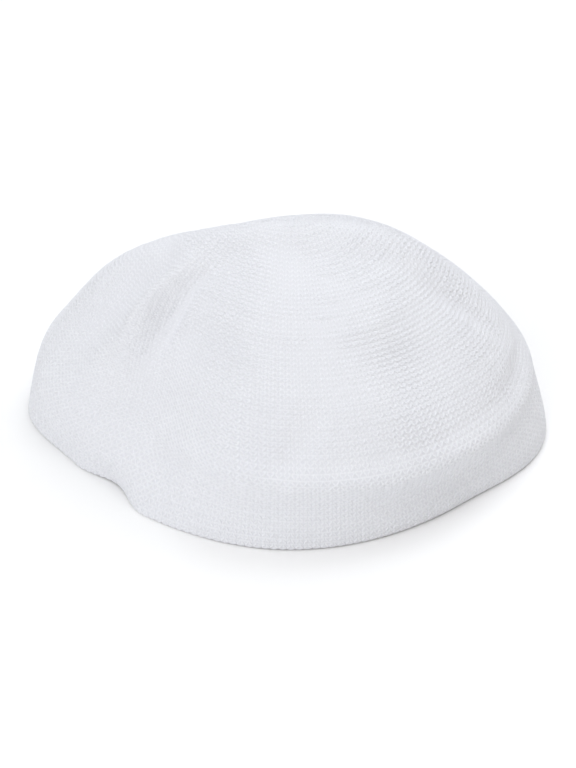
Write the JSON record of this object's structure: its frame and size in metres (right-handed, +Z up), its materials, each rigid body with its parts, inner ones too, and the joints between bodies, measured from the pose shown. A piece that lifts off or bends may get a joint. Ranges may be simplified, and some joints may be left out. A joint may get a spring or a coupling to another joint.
{
  "type": "knit prayer cap",
  "caption": "Soft white knit prayer cap, a slumped hollow dome in stockinette on a plain rim band, standing empty on its rim.",
  "frame": {"origin": "middle of the cap's footprint, on the plane that its rim stands on", "axes": "+Z up through the crown, -Y towards the front of the cap as pictured, +X to its right"},
  "size_m": [0.1901, 0.172, 0.0809],
  "materials": {
    "crown_knit": "white stockinette knit, soft, slight shine",
    "band_knit": "white knit band, tighter than the crown"
  },
  "bodies": {
    "root": {"crown": "crown_knit", "rim_band": "band_knit"}
  },
  "joints": []
}
